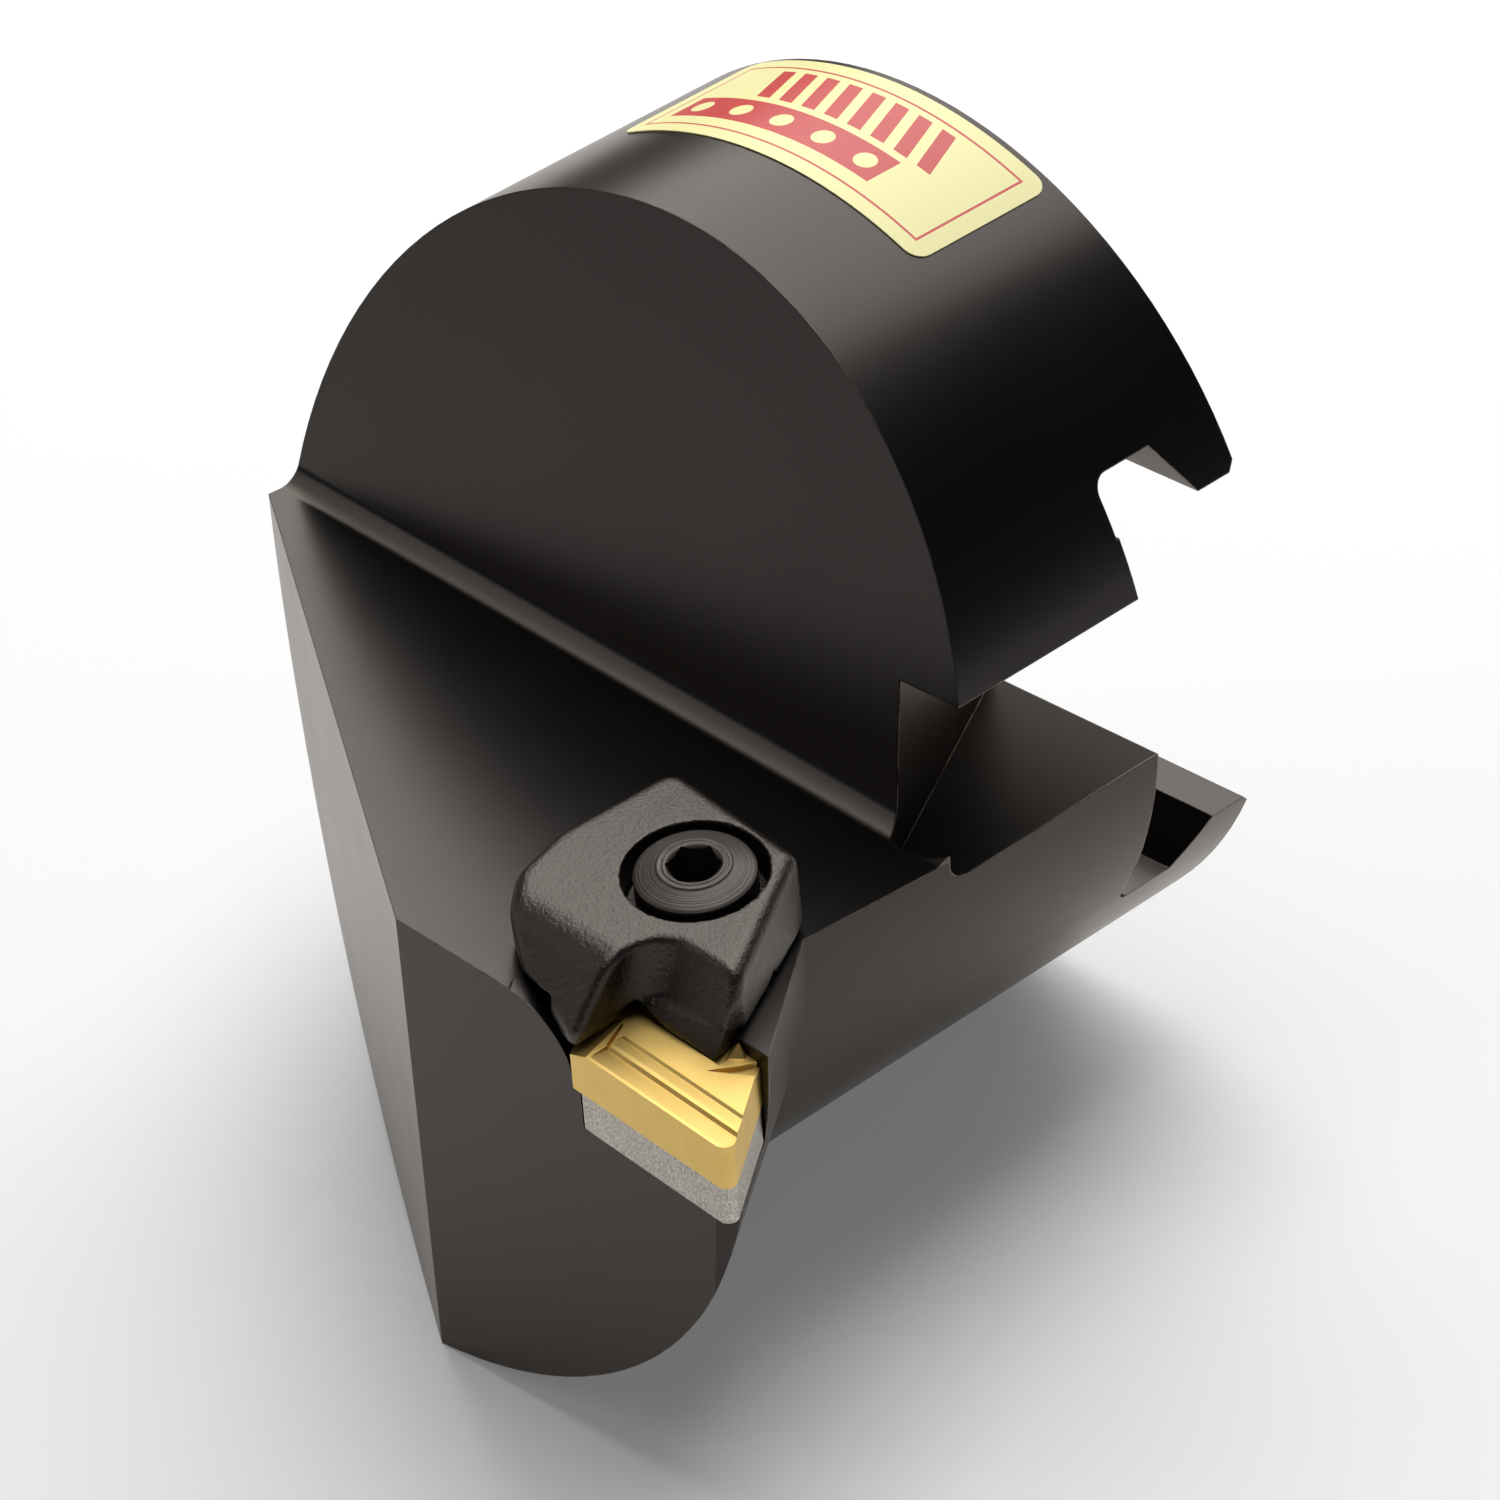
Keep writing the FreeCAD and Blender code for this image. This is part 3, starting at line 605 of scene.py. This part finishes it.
def spring_piece(finish):
    """Lifting spring in the body, under the ring on the screw."""
    coil = new_piece("lifting_spring", bpy.data.meshes.new("lifting_spring"))
    wound = coil.modifiers.new("coil", "NODES")
    wound.node_group = coil_tree()
    sizes = {"Coil Radius": spring_r * mm, "Wire Radius": spring_wire / 2 * mm,
             "Turns": spring_turns, "Height": (spring_high - spring_low) * mm, "Material": finish}
    for socket in wound.node_group.interface.items_tree:
        if socket.in_out == "INPUT":
            wound[socket.identifier] = sizes[socket.name]
    baked(coil)
    coil.data.transform(clamping @ Matrix.Translation((0, 0, spring_low))
                        @ Matrix.Scale(1 / mm, 4))
    coil.data.shade_smooth()
    coil.data.set_sharp_from_angle(angle=math.radians(50))
    return coil


def label_piece():
    """Curved sheet on the round body, its UV map in millimetres."""
    low, high = (math.radians(a) for a in label_angles)
    length, width = (high - low) * body_r, label_x[1] - label_x[0]
    half_u, half_v = length / 2, width / 2
    columns, rows, corner_steps = 48, 12, 4
    bed = bmesh.new()
    print_map = bed.loops.layers.uv.new("print")
    spots, printed_at = {}, {}

    def pulled(u, v):
        """A point of a rectangle pulled in to the round corner, by rows and columns."""
        over_u, over_v = abs(u) - (half_u - label_r), abs(v) - (half_v - label_r)
        if over_u > 0 and over_v > 0:
            reach = math.hypot(over_u, over_v)
            most = max(over_u, over_v)
            u = math.copysign(half_u - label_r + over_u * most / reach, u)
            v = math.copysign(half_v - label_r + over_v * most / reach, v)
        return u, v

    def stops(half, steps):
        """Places along one direction: close together in the corners, even between them."""
        inner = [label_r * i / corner_steps for i in range(corner_steps + 1)]
        straight = 2 * (half - label_r)
        return ([a - half for a in inner]
                + [label_r - half + straight * i / steps for i in range(1, steps)]
                + [half - a for a in inner[::-1]])

    us, vs = stops(half_u, columns), stops(half_v, rows)
    for level, r in enumerate((body_r + 0.01, body_r + film)):
        for i, a in enumerate(us):
            for j, b in enumerate(vs):
                u, v = pulled(a, b)
                angle = math.pi / 2 - u / body_r
                spot = bed.verts.new(Vector((label_x[0] + half_v + v, r * math.cos(angle),
                                             r * math.sin(angle))) * mm)
                spots[level, i, j] = spot
                printed_at[spot] = (u, v)
    for i in range(len(us) - 1):
        for j in range(len(vs) - 1):
            for level in (0, 1):
                bed.faces.new([spots[level, i + p, j + q]
                               for p, q in ((0, 0), (1, 0), (1, 1), (0, 1))])
    rim = ([(i, 0) for i in range(len(us) - 1)] + [(len(us) - 1, j) for j in range(len(vs) - 1)]
           + [(i, len(vs) - 1) for i in range(len(us) - 1, 0, -1)]
           + [(0, j) for j in range(len(vs) - 1, 0, -1)])
    for a, b in zip(rim, rim[1:] + rim[:1]):
        bed.faces.new((spots[0, *a], spots[0, *b], spots[1, *b], spots[1, *a]))
    for face in bed.faces:
        for loop in face.loops:
            loop[print_map].uv = printed_at[loop.vert]
    bmesh.ops.recalc_face_normals(bed, faces=bed.faces)
    mesh = bpy.data.meshes.new("printed_label")
    bed.to_mesh(mesh)
    bed.free()
    mesh.shade_smooth()
    mesh.set_sharp_from_angle(angle=math.radians(40))
    piece = new_piece("printed_label", mesh)
    dress(piece, printed_film(length, width))
    return piece


# ---- Pieces and their finishes ----

steel, cast, turned, bright = (black_oxide_steel(), cast_steel(), turned_steel(), bright_steel())
finishes = {"head_body": steel, "retaining_ring": bright, "guide_pin": bright,
            "shim_pin": bright, "shim": hard_metal()}
for name, finish in finishes.items():
    dress(nodes[name], finish)
    smooth(nodes[name])

coated_insert = insert_piece()
dress(coated_insert, nitride_coating())
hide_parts("insert")
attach(coated_insert, "head")

clamp = clamp_piece()
dress(clamp, cast)
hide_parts("clamp")
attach(clamp, "clamp_moving")

screw = screw_piece()
dress(screw, turned)
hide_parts("clamp_screw")
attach(screw, "screw_moving")

spring = spring_piece(bright)
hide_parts("clamp_spring")
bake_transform(spring)

label = label_piece()
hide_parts("label")
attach(label, "head")


# ---- Floor, world, lights and camera ----

def studio():
    low, high = cad_box
    bpy.ops.mesh.primitive_plane_add(size=8.0, location=(0, 0, low.z - 0.1 * mm))
    floor = bpy.context.object
    floor.name = "floor"
    made, tree = material("pale_floor")
    path = add(tree, "ShaderNodeLightPath")
    seen = add(tree, "ShaderNodeMath", {0: path.outputs["Is Camera Ray"],
                                        1: path.outputs["Is Glossy Ray"]}, operation="MAXIMUM")
    seen = add(tree, "ShaderNodeMath", {0: seen.outputs[0],
                                        1: path.outputs["Is Transmission Ray"]},
               operation="MAXIMUM")
    glow = add(tree, "ShaderNodeMath", {0: seen.outputs[0], 1: floor_glow},
               operation="MULTIPLY")
    shader = add(tree, "ShaderNodeBsdfPrincipled", {
        "Base Color": colour("F2F2F2"), "Roughness": 0.9, "Emission Color": (1, 1, 1, 1),
        "Emission Strength": glow.outputs[0]})
    add(tree, "ShaderNodeOutputMaterial", {"Surface": shader.outputs["BSDF"]})
    dress(floor, made)

    world = bpy.data.worlds.new("studio")
    bpy.context.scene.world = world
    world.use_nodes = True
    tree = world.node_tree
    tree.nodes.clear()
    back = add(tree, "ShaderNodeBackground", {"Color": (1, 1, 1, 1), "Strength": world_strength})
    add(tree, "ShaderNodeOutputWorld", {"Surface": back.outputs[0]})


def softbox(name, at, size, power):
    """Area lamp at an azimuth and elevation in degrees and a distance in metres."""
    a, e, far = math.radians(at[0]), math.radians(at[1]), at[2]
    toward = Vector((math.cos(a) * math.cos(e), math.sin(a) * math.cos(e), math.sin(e)))
    data = bpy.data.lights.new(name, "AREA")
    data.shape = "RECTANGLE"
    data.size, data.size_y = size
    data.energy = power
    made = bpy.data.objects.new(name, data)
    made.location = Vector(lamps_aim) + toward * far
    made.rotation_euler = toward.to_track_quat("Z", "Y").to_euler()
    bpy.context.scene.collection.objects.link(made)


def camera():
    a, e, roll = (math.radians(v) for v in (view_azimuth, view_elevation, view_roll))
    back = Vector((math.sin(a) * math.cos(e), -math.cos(a) * math.cos(e), math.sin(e)))
    level = Vector((math.cos(a), math.sin(a), 0))
    right = level * math.cos(roll) - back.cross(level) * math.sin(roll)
    turn = Matrix((right, back.cross(right), back)).transposed()
    data = bpy.data.cameras.new("camera")
    data.lens, data.sensor_width = camera_lens, sensor
    made = bpy.data.objects.new("camera", data)
    made.matrix_world = Matrix.Translation(camera_at) @ turn.to_4x4()
    bpy.context.scene.collection.objects.link(made)
    bpy.context.scene.camera = made


studio()
softbox("key_softbox", key_at, key_size, key_power)
softbox("top_softbox", top_at, top_size, top_power)
softbox("front_fill", fill_at, fill_size, fill_power)
camera()
bpy.context.scene.view_settings.view_transform = "Standard"
